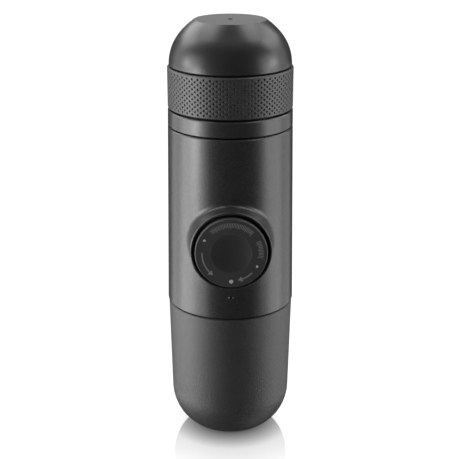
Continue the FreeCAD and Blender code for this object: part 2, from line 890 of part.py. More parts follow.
def outlet_head():
    """Screwed head: skirt and inner tube below, collar, dished top and the cup's spigot."""
    tube_foot = basket_foot + basket_rim_thickness
    skirt_foot = collar_foot - head_skirt_length
    slot_top = deck_top + head_spigot_height + brew_room
    hub_top = dish_floor + nozzle_hub_height
    shank_foot = hub_top - nozzle_shank_length
    groove = cup_spigot_outer + screw_clearance - seal_clearance - cup_ring_thickness
    groove_middle = collar_top + cup_ring_height
    groove_half = cup_ring_thickness * ring_groove_play / 2
    return turned(
        (nozzle_bore_radius, head_ceiling),
        (head_tube_inner, head_ceiling),
        (head_tube_inner, tube_foot),
        (head_tube_outer, tube_foot),
        (head_tube_outer, slot_top),
        (head_skirt_inner, slot_top),
        (head_skirt_inner, skirt_foot),
        (head_skirt_outer, skirt_foot),
        (head_skirt_outer, collar_foot),
        (casing_radius(collar_foot), collar_foot),
        (casing_radius(collar_top - seam_bevel), collar_top - seam_bevel),
        (casing_radius(collar_top) - seam_bevel, collar_top),
        (cup_spigot_outer, collar_top),
        (cup_spigot_outer, groove_middle - groove_half),
        (groove, groove_middle - groove_half),
        (groove, groove_middle + groove_half),
        (cup_spigot_outer, groove_middle + groove_half),
        (cup_spigot_outer, cup_spigot_top, cup_spigot_wall / 4),
        (cup_spigot_inner, cup_spigot_top, cup_spigot_wall / 4),
        (cup_spigot_inner, dish_floor, dish_corner),
        (nozzle_hub_radius, dish_floor),
        (nozzle_hub_radius, hub_top),
        (nozzle_shank_radius, hub_top),
        (nozzle_shank_radius, shank_foot),
        (nozzle_bore_radius, shank_foot),
    )


def cup_seal():
    """Soft ring that grips the cup on the head's spigot."""
    return seal_ring(cup_skirt_inner - seal_clearance, collar_top + cup_ring_height, cup_ring_thickness)


def spout_nozzle():
    """Metal spout pressed into the head's hub."""
    base = dish_floor + nozzle_hub_height
    flange = base + nozzle_flange_thickness
    tip = base + nozzle_length
    shank = base - nozzle_shank_length
    return turned(
        (nozzle_bore_radius, shank),
        (nozzle_shank_radius, shank),
        (nozzle_shank_radius, base),
        (nozzle_flange_radius, base),
        (nozzle_flange_radius, flange, nozzle_flange_round),
        (nozzle_base_radius, flange),
        (nozzle_tip_radius, tip, nozzle_tip_round),
        (nozzle_bore_radius, tip),
    )


def dome_side(inset):
    """The dome's side at an inset: a shoulder arc, then a flatter crown arc up to the flat."""
    turn = math.radians(dome_shoulder_turn)
    shoulder = dome_shoulder_radius - inset
    foot = at(dome_foot_radius - inset, dome_foot)
    knee = foot + at(shoulder * (math.cos(turn) - 1), shoulder * math.sin(turn))
    corner_share = math.tan(math.radians(90 - dome_shoulder_turn) / 4)
    flat = at(dome_flat_radius - inset * corner_share, dome_top - inset)
    side = bend(foot, at(0, 1), knee)[0]
    crown = bend(knee, at(-math.sin(turn), math.cos(turn)), flat)[0]
    return foot, [side, crown, line(flat, at(0, flat.z))]


def espresso_cup():
    """Cup stored upside down: a domed end with a flat for standing, and a skirt in the grip."""
    foot, side = dome_side(0.0)
    start = at(0, dome_foot)
    cup = lathe([line(start, foot)] + side + [line(at(0, dome_top), start)])
    cup = cup.fuse(rod(cup_skirt_outer, grip_foot, dome_foot))
    foot, side = dome_side(cup_dome_wall)
    hollow = lathe([line(start, foot)] + side + [line(at(0, dome_top - cup_dome_wall), start)])
    cup = cup.cut(hollow)
    cup = cup.cut(rod(cup_skirt_inner - cup_ledge, cup_spigot_top, dome_foot))
    cup = cup.cut(rod(cup_skirt_inner, grip_foot, cup_spigot_top))
    return cup.removeSplitter()


def cup_grip_ring():
    """Band round the cup's skirt, with a lip that meets the dome inside the seam."""
    lip = cup_skirt_outer + grip_lip_width
    return turned(
        (cup_skirt_outer, grip_foot),
        (grip_radius - seam_bevel, grip_foot),
        (grip_radius, grip_foot + seam_bevel),
        (grip_radius, grip_top - seam_bevel),
        (grip_radius - seam_bevel, grip_top),
        (lip, grip_top),
        (lip, dome_foot),
        (cup_skirt_outer, dome_foot),
    )


def scoop():
    """Coffee scoop and tamper, stored upside down over the spout."""
    inner = scoop_radius - scoop_wall
    top = dish_floor + scoop_height
    rim = scoop_radius + scoop_flange_width
    return turned(
        (inner, dish_floor),
        (rim, dish_floor),
        (rim, dish_floor + scoop_flange_thickness),
        (scoop_radius, dish_floor + scoop_flange_thickness),
        (scoop_radius, top, scoop_round),
        (0, top),
        (0, top - scoop_floor_thickness),
        (inner, top - scoop_floor_thickness, scoop_wall),
    )


pieces = {
    "water_tank": water_tank(),
    "tank_gasket": tank_gasket(),
    "casing": casing(),
    "casing_screws": casing_screws(),
    "pump_frame": pump_frame(),
    "pump_cylinder": pump_cylinder(),
    "cylinder_seal": cylinder_seal(),
    "piston_guide": piston_guide(),
    "inlet_strainer": inlet_strainer(),
    "inlet_valve_seat": valve_seat(inlet_seat_foot()),
    "inlet_valve": umbrella_valve(inlet_seat_foot()),
    "outlet_valve_seat": valve_seat(outlet_seat_foot()),
    "outlet_valve": umbrella_valve(outlet_seat_foot()),
    "shower_screen": shower_screen(),
    "screen_screw": screen_screw(),
    "brew_gasket": brew_gasket(),
    "spring_washer": spring_washer(),
    "piston_spring": piston_spring(),
    "piston_knob": piston_knob(),
    "plunger": plunger(),
    "plunger_seal": plunger_seal(),
    "filter_basket": filter_basket(),
    "outlet_head": outlet_head(),
    "spout_nozzle": spout_nozzle(),
    "cup_seal": cup_seal(),
    "espresso_cup": espresso_cup(),
    "cup_grip_ring": cup_grip_ring(),
    "scoop": scoop(),
}

os.makedirs("parts", exist_ok=True)
for name, shape in pieces.items():
    shape.exportStep("parts/" + name + ".step")
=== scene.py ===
import math

import bmesh
import bpy
from bpy.props import FloatProperty, FloatVectorProperty, IntProperty, PointerProperty
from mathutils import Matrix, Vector


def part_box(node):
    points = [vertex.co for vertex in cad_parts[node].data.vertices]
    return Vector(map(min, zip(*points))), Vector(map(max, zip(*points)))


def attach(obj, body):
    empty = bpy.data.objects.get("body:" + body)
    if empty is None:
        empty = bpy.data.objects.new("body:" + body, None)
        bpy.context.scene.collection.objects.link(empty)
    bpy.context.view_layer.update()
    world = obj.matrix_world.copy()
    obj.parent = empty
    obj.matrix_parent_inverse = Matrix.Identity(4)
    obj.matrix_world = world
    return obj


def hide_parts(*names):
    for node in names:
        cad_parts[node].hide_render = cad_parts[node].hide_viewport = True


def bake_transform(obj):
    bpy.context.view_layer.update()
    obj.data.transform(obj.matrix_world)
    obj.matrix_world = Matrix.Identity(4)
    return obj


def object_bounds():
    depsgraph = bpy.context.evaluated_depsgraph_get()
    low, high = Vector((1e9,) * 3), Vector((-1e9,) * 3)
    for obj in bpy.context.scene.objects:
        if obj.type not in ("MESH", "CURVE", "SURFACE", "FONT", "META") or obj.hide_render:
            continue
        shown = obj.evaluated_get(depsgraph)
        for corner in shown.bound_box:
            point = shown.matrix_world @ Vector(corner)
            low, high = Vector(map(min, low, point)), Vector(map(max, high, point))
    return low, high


bl_info = {
    "name": "Handheld espresso maker",
    "version": (1, 0, 0),
    "blender": (4, 2, 0),
    "location": "3D View > Sidebar > Espresso maker",
    "description": "Dresses the packed espresso maker and sets up its studio",
    "category": "Object",
}

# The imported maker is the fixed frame. Everything below is in its metres, with Z up and the piston at -Y.
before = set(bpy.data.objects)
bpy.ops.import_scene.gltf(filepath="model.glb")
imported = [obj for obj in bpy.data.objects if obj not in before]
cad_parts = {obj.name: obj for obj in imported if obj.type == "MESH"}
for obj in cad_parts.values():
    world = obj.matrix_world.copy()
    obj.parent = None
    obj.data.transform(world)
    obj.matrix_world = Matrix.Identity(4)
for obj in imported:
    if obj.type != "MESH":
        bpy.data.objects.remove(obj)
cad_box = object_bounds()
MM = 0.001
TURN = 2 * math.pi
WELD = 0.002 * MM
SMOOTH_ANGLE = math.radians(38)


def foot_of(node):
    """Lowest level of a node of the frame."""
    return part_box(node)[0].z


def top_of(node):
    """Highest level of a node of the frame."""
    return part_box(node)[1].z


def reach_of(node):
    """Largest distance of a node from the long axis, along X."""
    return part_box(node)[1].x


PISTON_HEIGHT = (foot_of("piston_knob") + top_of("piston_knob")) / 2
PISTON_FACE = -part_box("piston_knob")[0].y
SEAM = foot_of("casing") - top_of("water_tank")


class EspressoSizes(bpy.types.PropertyGroup):
    """Sizes of what is modelled round the frame."""

    pit_columns: IntProperty(
        name="Pit columns", description="Columns of pits round the grip band", default=60, min=12
    )
    pit_rows: IntProperty(
        name="Pit rows", description="Pits in each full column of the grip band", default=8, min=2
    )
    pit_pitch: FloatProperty(
        name="Pit pitch", description="Height from one pit to the next in a column",
        default=1.93 * MM, unit="LENGTH", precision=5,
    )
    pit_radius: FloatProperty(
        name="Pit radius", description="Radius of a pit at the surface of the band",
        default=0.46 * MM, unit="LENGTH", precision=5,
    )
    pit_depth: FloatProperty(
        name="Pit depth", description="Depth of a pit at its middle",
        default=0.36 * MM, unit="LENGTH", precision=5,
    )
    band_bevel: FloatProperty(
        name="Band bevel", description="Bevel at both edges of the grip band",
        default=0.4 * MM, unit="LENGTH", precision=5,
    )
    band_wall: FloatProperty(
        name="Band wall", description="Wall of the grip band round the cup's skirt",
        default=1.3 * MM, unit="LENGTH", precision=5,
    )
    band_lip: FloatProperty(
        name="Band lip", description="Lip of the band that meets the dome inside the seam",
        default=0.12 * MM, unit="LENGTH", precision=5,
    )
    print_height: FloatProperty(
        name="Print height", description="How far printed marks stand off the piston's face",
        default=0.03 * MM, unit="LENGTH", precision=5,
    )
    thread_lead: FloatProperty(
        name="Thread lead", description="Climb of the screw joints in one turn",
        default=8.0 * MM, unit="LENGTH", precision=5,
    )
    thread_starts: IntProperty(
        name="Thread starts", description="Separate ridges side by side in a screw joint",
        default=4, min=1,
    )
    thread_height: FloatProperty(
        name="Thread height", description="How far a thread's ridge stands off its wall",
        default=0.22 * MM, unit="LENGTH", precision=5,
    )
    spring_wire: FloatProperty(
        name="Spring wire", description="Diameter of the return spring's wire",
        default=1.4 * MM, unit="LENGTH", precision=5,
    )
    spring_turns: IntProperty(
        name="Spring turns", description="Turns of the return spring", default=7, min=3
    )


class EspressoColours(bpy.types.PropertyGroup):
    """Colours of the maker's materials."""

    shell: FloatVectorProperty(
        name="Shell", description="Charcoal plastic of the outside", subtype="COLOR", size=3,
        default=(0.023, 0.023, 0.0242), min=0.0, max=1.0,
    )
    tank: FloatVectorProperty(
        name="Tank", description="Rougher charcoal plastic of the water tank", subtype="COLOR", size=3,
        default=(0.032, 0.032, 0.0335), min=0.0, max=1.0,
    )
    piston: FloatVectorProperty(
        name="Piston", description="Plastic of the thumb piston", subtype="COLOR", size=3,
        default=(0.034, 0.034, 0.035), min=0.0, max=1.0,
    )
    inside: FloatVectorProperty(
        name="Inside", description="Moulded plastic of the inner frame", subtype="COLOR", size=3,
        default=(0.022, 0.022, 0.024), min=0.0, max=1.0,
    )
    # Darker than real silicone, as painted shade: for the seals and for the dark pieces that stand for
    # shade in seams and hollows
    seal: FloatVectorProperty(
        name="Seals", description="Silicone of the seals and valves", subtype="COLOR", size=3,
        default=(0.006, 0.006, 0.0064), min=0.0, max=1.0,
    )
    steel: FloatVectorProperty(
        name="Steel", description="Stainless steel of the basket, screen, screws and spout",
        subtype="COLOR", size=3, default=(0.60, 0.60, 0.61), min=0.0, max=1.0,
    )
    spring: FloatVectorProperty(
        name="Spring", description="Drawn wire of the return spring", subtype="COLOR", size=3,
        default=(0.42, 0.42, 0.43), min=0.0, max=1.0,
    )
    # Also the colour of the painted highlights beside the index mark
    mark: FloatVectorProperty(
        name="Marks", description="Light print of the position dots", subtype="COLOR", size=3,
        default=(0.42, 0.42, 0.42), min=0.0, max=1.0,
    )
    faint_mark: FloatVectorProperty(
        name="Faint marks", description="Grey print of the scale and the turn arrows",
        subtype="COLOR", size=3, default=(0.19, 0.19, 0.19), min=0.0, max=1.0,
    )


class EspressoStudio(bpy.types.PropertyGroup):
    """Camera, floor and lights."""

    camera_distance: FloatProperty(
        name="Camera distance", description="Distance of the camera from the long axis",
        default=423.7 * MM, unit="LENGTH", precision=4,
    )
    camera_height: FloatProperty(
        name="Camera height", description="Height of the camera above the floor",
        default=240.9 * MM, unit="LENGTH", precision=4,
    )
    camera_pitch: FloatProperty(
        name="Camera pitch", description="How far the camera looks down",
        default=math.radians(19.85), subtype="ANGLE",
    )
    camera_round: FloatProperty(
        name="Camera round", description="How far the camera stands to the left of the piston",
        default=math.radians(0.65), subtype="ANGLE",
    )
    camera_aside: FloatProperty(
        name="Camera aside", description="Angle between the camera's view and the long axis",
        default=math.radians(0.045), subtype="ANGLE",
    )
    lens: FloatProperty(
        name="Lens", description="Focal length of the camera in millimetres", default=84.87, min=1.0
    )
    light_level: FloatProperty(
        name="Light level", description="Factor on the power of every softbox", default=1.0, min=0.0
    )
    room_level: FloatProperty(
        name="Room level", description="Brightness of the dim room round the softboxes",
        default=0.016, min=0.0,
    )
    screen_level: FloatProperty(
        name="Screen level", description="Brightness of the screens that the floor mirrors",
        default=1.1, min=0.0,
    )
    floor_level: FloatProperty(
        name="Floor level", description="Brightness of the floor away from the maker",
        default=1.12, min=0.0,
    )
    floor_gloss: FloatProperty(
        name="Floor gloss", description="How strongly the floor mirrors the maker beside its foot",
        default=0.38, min=0.0, max=1.0,
    )
    floor_gloss_reach: FloatProperty(
        name="Floor gloss reach", description="Distance from the foot at which the mirror image is gone",
        default=62.0 * MM, unit="LENGTH", precision=4,
    )
    contact_reach: FloatProperty(
        name="Contact reach", description="How far the shadow round the foot gathers",
        default=10.0 * MM, unit="LENGTH", precision=4,
    )


def sizes():
    return bpy.context.scene.espresso_sizes


def colours():
    return bpy.context.scene.espresso_colours


def studio():
    return bpy.context.scene.espresso_studio


def new_piece(name, points, faces, material, body):
    """A mesh piece in the row frame, smooth where its faces meet gently, riding on a body."""
    mesh = bpy.data.meshes.new(name)
    mesh.from_pydata(points, [], faces)
    shaped = bmesh.new()
    shaped.from_mesh(mesh)
    bmesh.ops.remove_doubles(shaped, verts=shaped.verts, dist=WELD)
    shaped.to_mesh(mesh)
    shaped.free()
    mesh.shade_smooth()
    mesh.set_sharp_from_angle(angle=SMOOTH_ANGLE)
    mesh.materials.append(material)
    piece = bpy.data.objects.new(name, mesh)
    bpy.context.scene.collection.objects.link(piece)
    if body is not None:
        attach(piece, body)
    return piece


def round_point(radius, angle, height):
    """A point at a radius and angle about the long axis."""
    return (radius * math.cos(angle), radius * math.sin(angle), height)


def face_point(radius, angle, stand_off):
    """A point on the piston's face, by its radius and angle as seen from the front."""
    x = radius * math.cos(angle)
    z = PISTON_HEIGHT + radius * math.sin(angle)
    return (x, -PISTON_FACE - stand_off, z)


class Nodes:
    """The nodes of one new material, with short calls to add and join them."""

    def __init__(self, name):
        self.material = bpy.data.materials.new(name)
        self.material.use_nodes = True
        self.tree = self.material.node_tree
        self.shader = self.tree.nodes["Principled BSDF"]

    def add(self, kind, **values):
        node = self.tree.nodes.new(kind)
        for key, value in values.items():
            setattr(node, key, value)
        return node

    def join(self, source, target):
        self.tree.links.new(source, target)

    def feed(self, entry, source):
        """Joins a value, a colour or a normal to an input of the shader."""
        self.join(source, self.shader.inputs[entry])

    def place(self):
        """Coordinates in metres that stay with the piece."""
        return self.add("ShaderNodeTexCoord").outputs["Object"]

    def length(self, place):
        """Distance of a place from the origin."""
        node = self.add("ShaderNodeVectorMath", operation="LENGTH")
        self.join(place, node.inputs[0])
        return node.outputs["Value"]

    def noise(self, place, scale, detail=2.0, roughness=0.5, stretch=None):
        if stretch is not None:
            mapping = self.add("ShaderNodeMapping")
            mapping.inputs["Scale"].default_value = stretch
            self.join(place, mapping.inputs["Vector"])
            place = mapping.outputs["Vector"]
        node = self.add("ShaderNodeTexNoise")
        node.inputs["Scale"].default_value = scale
        node.inputs["Detail"].default_value = detail
        node.inputs["Roughness"].default_value = roughness
        self.join(place, node.inputs["Vector"])
        return node.outputs["Fac"]

    def spread(self, source, low, high, from_low=0.3, from_high=0.7, kind="LINEAR"):
        """A value spread between two limits. The range it comes from suits a noise."""
        node = self.add("ShaderNodeMapRange", interpolation_type=kind)
        node.inputs["From Min"].default_value = from_low
        node.inputs["From Max"].default_value = from_high
        node.inputs["To Min"].default_value = low
        node.inputs["To Max"].default_value = high
        self.join(source, node.inputs["Value"])
        return node.outputs["Result"]

    def blend(self, source, first, second):
        """A colour between two, by a value from 0 to 1."""
        node = self.add("ShaderNodeMix", data_type="RGBA")
        node.inputs[6].default_value = (*first, 1.0)
        node.inputs[7].default_value = (*second, 1.0)
        self.join(source, node.inputs[0])
        return node.outputs[2]

    def toned(self, colour, tone):
        """A colour multiplied by another."""
        node = self.add("ShaderNodeMix", data_type="RGBA", blend_type="MULTIPLY")
        node.inputs[0].default_value = 1.0
        self.join(colour, node.inputs[6])
        self.join(tone, node.inputs[7])
        return node.outputs[2]

    def scaled(self, value, factor):
        """A value multiplied by another."""
        node = self.add("ShaderNodeMath", operation="MULTIPLY")
        self.join(value, node.inputs[0])
        self.join(factor, node.inputs[1])
        return node.outputs["Value"]

    def clouded(self, place, scale, colour, tints, detail=3.0):
        """Feeds the shader a colour that drifts between two tints, and gives the drift."""
        drift = self.spread(self.noise(place, scale, detail), 0.0, 1.0)
        self.feed("Base Color", self.blend(drift, tinted(colour, tints[0]), tinted(colour, tints[1])))
        return drift

    def bump(self, source, depth, before=None):
        node = self.add("ShaderNodeBump")
        node.inputs["Strength"].default_value = 1.0
        node.inputs["Distance"].default_value = depth
        self.join(source, node.inputs["Height"])
        if before is not None:
            self.join(before, node.inputs["Normal"])
        return node.outputs["Normal"]


def tinted(colour, factor):
    return tuple(min(1.0, channel * factor) for channel in colour)


def grey(level):
    return (level, level, level)


# Plastic: how much finer its second grain is, its clouds per metre and their tones, and its shine's spread
FINE_GRAIN = 2.3
PLASTIC_CLOUDS = 60.0
PLASTIC_TONES = (0.93, 1.07)
SHINE_SPREAD = 0.1
PLASTIC_IOR = 1.48

# The dish in the piston's face: its radius, the width of its edge, its tone as a share (painted shade of
# the hollow) and its roughness as a share
DISH_RIM = 7.9 * MM
DISH_EDGE = 0.4 * MM
DISH_SHADE = 0.85
DISH_ROUGHNESS = 0.8

# Silicone: clouds and skin cells per metre
SILICONE_CLOUDS = 220.0
SILICONE_TINTS = (0.85, 1.15)
SILICONE_SKIN = 1500.0
SILICONE_SKIN_DEPTH = 0.02 * MM
SILICONE_ROUGHNESS = (0.72, 0.86)
SILICONE_IOR = 1.41
SILICONE_SHINE = 0.12

# Steel: lines and clouds per metre
STEEL_LINES = 900.0
STEEL_LINE_DEPTH = 0.006 * MM
STEEL_CLOUDS = 120.0
STEEL_TINTS = (0.9, 1.05)
STEEL_SMOOTHER = 0.06
STEEL_ROUGHER = 0.1

# Printed ink: spots of uneven cover per metre
INK_SPOTS = 2600.0
INK_TINTS = (0.86, 1.08)
INK_ROUGHNESS = (0.45, 0.6)


def grained_plastic(name, colour, roughness, grain, grain_depth, mottle):
    """Moulded plastic with a spark-eroded grain that varies its tone and its shine."""
    nodes = Nodes(name)
    place = nodes.place()
    coarse = nodes.noise(place, 1.0 / grain)
    fine = nodes.noise(place, FINE_GRAIN / grain)
    clouds = nodes.noise(place, PLASTIC_CLOUDS)
    specks = nodes.blend(
        nodes.spread(fine, 0.0, 1.0), tinted(colour, 1.0 - mottle), tinted(colour, 1.0 + mottle)
    )
    tone = nodes.blend(nodes.spread(clouds, 0.0, 1.0), grey(PLASTIC_TONES[0]), grey(PLASTIC_TONES[1]))
    nodes.feed("Base Color", nodes.toned(specks, tone))
    rough = nodes.spread(coarse, roughness * (1.0 - SHINE_SPREAD), roughness * (1.0 + SHINE_SPREAD))
    nodes.feed("Roughness", rough)
    nodes.feed("Normal", nodes.bump(fine, grain_depth / 2, before=nodes.bump(coarse, grain_depth)))
    nodes.shader.inputs["IOR"].default_value = PLASTIC_IOR
    return nodes


def dished_plastic(name, colour, roughness, grain, grain_depth, mottle):
    """The piston's plastic: grained, and smoother in the dish under the thumb, and darker there as painted
    shade of the hollow.
    """
    nodes = grained_plastic(name, colour, roughness, grain, grain_depth, mottle)
    from_axis = nodes.add("ShaderNodeMapping")
    from_axis.inputs["Location"].default_value = (0.0, 0.0, -PISTON_HEIGHT)
    from_axis.inputs["Scale"].default_value = (1.0, 0.0, 1.0)
    nodes.join(nodes.place(), from_axis.inputs["Vector"])
    distance = nodes.length(from_axis.outputs["Vector"])
    outside = nodes.spread(distance, 0.0, 1.0, DISH_RIM - DISH_EDGE, DISH_RIM)
    # Painted shade: the colour is darkened inside the dish
    tone = nodes.blend(outside, grey(DISH_SHADE), grey(1.0))
    colour_before = nodes.shader.inputs["Base Color"].links[0].from_socket
    nodes.feed("Base Color", nodes.toned(colour_before, tone))
    share = nodes.spread(outside, DISH_ROUGHNESS, 1.0, 0.0, 1.0)
    rough_before = nodes.shader.inputs["Roughness"].links[0].from_socket
    nodes.feed("Roughness", nodes.scaled(rough_before, share))
    return nodes


def soft_silicone(name, colour):
    """Moulded silicone: dull, with a faint skin texture."""
    nodes = Nodes(name)
    place = nodes.place()
    nodes.clouded(place, SILICONE_CLOUDS, colour, SILICONE_TINTS)
    skin = nodes.noise(place, SILICONE_SKIN)
    nodes.feed("Roughness", nodes.spread(skin, *SILICONE_ROUGHNESS))
    nodes.feed("Normal", nodes.bump(skin, SILICONE_SKIN_DEPTH))
    nodes.shader.inputs["IOR"].default_value = SILICONE_IOR
    nodes.shader.inputs["Specular IOR Level"].default_value = SILICONE_SHINE
    return nodes


def turned_steel(name, colour, roughness, line_stretch):
    """Stainless steel with fine lines from rolling, turning or drawing."""
    nodes = Nodes(name)
    place = nodes.place()
    lines = nodes.noise(place, STEEL_LINES, detail=4.0, roughness=0.6, stretch=line_stretch)
    nodes.clouded(place, STEEL_CLOUDS, colour, STEEL_TINTS, detail=2.0)
    nodes.feed("Roughness", nodes.spread(lines, roughness - STEEL_SMOOTHER, roughness + STEEL_ROUGHER))
    nodes.feed("Normal", nodes.bump(lines, STEEL_LINE_DEPTH))
    nodes.shader.inputs["Metallic"].default_value = 1.0
    return nodes


def printed_ink(name, colour):
    """Pad-printed ink with slightly uneven cover."""
    nodes = Nodes(name)
    cover = nodes.clouded(nodes.place(), INK_SPOTS, colour, INK_TINTS)
    nodes.feed("Roughness", nodes.spread(cover, *INK_ROUGHNESS, 0.0, 1.0))
    return nodes


# What makes each finish, its colour, and then for plastic: roughness, size and depth of the grain, and
# mottle of the tone; for steel: roughness and stretch of the lines
FINISHES = {
    "charcoal_shell": (grained_plastic, "shell", 0.30, 0.55 * MM, 0.022 * MM, 0.90),
    "charcoal_collar": (grained_plastic, "shell", 0.30, 0.50 * MM, 0.010 * MM, 0.50),
    "charcoal_dome": (grained_plastic, "shell", 0.32, 0.50 * MM, 0.008 * MM, 0.45),
    "charcoal_grip": (grained_plastic, "tank", 0.46, 0.40 * MM, 0.002 * MM, 0.12),
    "charcoal_tank": (grained_plastic, "tank", 0.45, 0.46 * MM, 0.110 * MM, 0.60),
    "matt_piston": (dished_plastic, "piston", 0.50, 0.30 * MM, 0.012 * MM, 0.30),
    "inner_plastic": (grained_plastic, "inside", 0.34, 0.50 * MM, 0.004 * MM, 0.06),
    # The seals' silicone, also worn by the dark pieces that stand as painted shade in seams and hollows
    "dark_silicone": (soft_silicone, "seal"),
    "stainless_steel": (turned_steel, "steel", 0.27, (1.0, 1.0, 9.0)),
    "spring_steel_wire": (turned_steel, "spring", 0.3, (1.0, 1.0, 1.0)),
    # Light print of the position dots, also worn by the painted highlights beside the index mark
    "light_print": (printed_ink, "mark"),
    "grey_print": (printed_ink, "faint_mark"),
}


def material_of(name):
    """One of the maker's materials, made the first time it is asked for."""
    made = bpy.data.materials.get(name)
    if made is not None:
        return made
    maker, colour, *values = FINISHES[name]
    return maker(name, getattr(colours(), colour), *values).material


def finish_nodes(names, material_name):
    """Gives nodes of the frame one of the maker's materials."""
    material = material_of(material_name)
    for name in names:
        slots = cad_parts[name].data.materials
        slots.clear()
        slots.append(material)


class Shape:
    """Points and faces of one piece while it is put together."""

    def __init__(self):
        self.points = []
        self.faces = []

    def ring(self, points):
        """Adds a row of points and gives their numbers."""
        start = len(self.points)
        self.points += points
        return list(range(start, len(self.points)))

    def wall(self, rings):
        """Faces between closed rings of as many points, one after the other."""
        for lower, upper in zip(rings, rings[1:]):
            count = len(lower)
            for index in range(count):
                after = (index + 1) % count
                self.faces.append((lower[index], lower[after], upper[after], upper[index]))

    def cap(self, ring, middle):
        """A fan of faces from a ring to its middle point."""
        tip = self.ring([middle])[0]
        for index, number in enumerate(ring):
            self.faces.append((number, ring[(index + 1) % len(ring)], tip))

    def piece(self, name, material_name, body, slot):
        return new_piece(name, self.points, self.faces, material_of(material_name), body)


def seam_shade_ring(name, inner, outer, foot, top, steps, body, slot):
    """A dark ring of square section that fills a seam, as painted shade in its gap."""
    shape = Shape()
    angles = [TURN * index / steps for index in range(steps)]
    section = ((inner, foot), (outer, foot), (outer, top), (inner, top))
    rings = [shape.ring([round_point(r, a, z) for a in angles]) for r, z in section]
    shape.wall(rings + [rings[0]])
    shape.piece(name, "dark_silicone", body, slot)


class ESPRESSO_OT_shell(bpy.types.Operator):
    """Finish the outer shell: tank, casing, collar, cup and piston"""

    bl_idname = "espresso.shell"
    bl_label = "Outer shell"

    def execute(self, context):
        finish_nodes(["casing"], "charcoal_shell")
        finish_nodes(["espresso_cup"], "charcoal_dome")
        finish_nodes(["outlet_head"], "charcoal_collar")
        finish_nodes(["water_tank"], "charcoal_tank")
        finish_nodes(["piston_knob", "piston_guide"], "matt_piston")
        return {"FINISHED"}


# A dark ring in the tank's seam, painted shade in the gap: from inside the gasket to just behind the tank's
# rim
SEAM_SHADE_OVERLAP = 0.5 * MM
SEAM_SHADE_INSET = 0.2 * MM
SEAM_SHADE_LIFT = 0.04 * MM
SEAM_SHADE_SHARE = 0.75
SEAM_SHADE_STEPS = 128


class ESPRESSO_OT_inside(bpy.types.Operator):
    """Finish the pump, the valves, the brewing stack, the seals and the scoop"""

    bl_idname = "espresso.inside"
    bl_label = "Inside parts"

    def execute(self, context):
        finish_nodes(
            ["pump_frame", "inlet_valve_seat", "outlet_valve_seat", "spring_washer", "plunger", "scoop"],
            "inner_plastic",
        )
        finish_nodes(
            ["tank_gasket", "cylinder_seal", "inlet_valve", "outlet_valve", "brew_gasket", "plunger_seal",
             "cup_seal"],
            "dark_silicone",
        )
        finish_nodes(
            ["casing_screws", "pump_cylinder", "inlet_strainer", "shower_screen", "screen_screw",
             "filter_basket", "spout_nozzle"],
            "stainless_steel",
        )
        # Painted shade: a dark ring fills the tank's seam so that the gap reads black
        inner = reach_of("tank_gasket") - SEAM_SHADE_OVERLAP
        outer = reach_of("water_tank") - SEAM_SHADE_INSET
        foot = top_of("water_tank") + SEAM_SHADE_LIFT
        top = foot + SEAM * SEAM_SHADE_SHARE
        seam_shade_ring(
            "gasket_edge", inner, outer, foot, top, SEAM_SHADE_STEPS, "tank_seal", "seal_silicone"
        )
        return {"FINISHED"}


# Section of a pit from its land to its floor: shares of its radius and of its depth
PIT_SECTION = ((1.15, 0.0), (0.97, 0.06), (0.66, 0.6), (0.3, 0.96))
# How much taller than wide a pit is, its sides, and the steps of the band's edges under one column
PIT_TALL = 1.12
PIT_SIDES = 12
EDGE_STEPS = 6


def pit_cell(shape, size, middle, level, radius):
    """One rhombus of the grip band's surface with its round pit in the middle."""
    side_steps = PIT_SIDES // 4
    half_wide = TURN / size.pit_columns / 2
    half_tall = size.pit_pitch / 2
    corners = [(1, 0), (0, 1), (-1, 0), (0, -1), (1, 0)]
    border = []
    for index in range(PIT_SIDES):
        corner, step = divmod(index, side_steps)
        share = step / side_steps
        across = corners[corner][0] * (1 - share) + corners[corner + 1][0] * share
        upward = corners[corner][1] * (1 - share) + corners[corner + 1][1] * share
        border.append(round_point(radius, middle + across * half_wide, level + upward * half_tall))
    rings = [shape.ring(border)]
    for reach, depth in PIT_SECTION:
        ring = []
        for index in range(PIT_SIDES):
            angle = TURN * index / PIT_SIDES
            across = reach * size.pit_radius * math.cos(angle) / radius
            upward = reach * size.pit_radius * math.sin(angle) * PIT_TALL
            ring.append(round_point(radius - depth * size.pit_depth, middle + across, level + upward))
        rings.append(shape.ring(ring))
    shape.wall(rings)
    shape.cap(rings[-1], round_point(radius - size.pit_depth, middle, level))


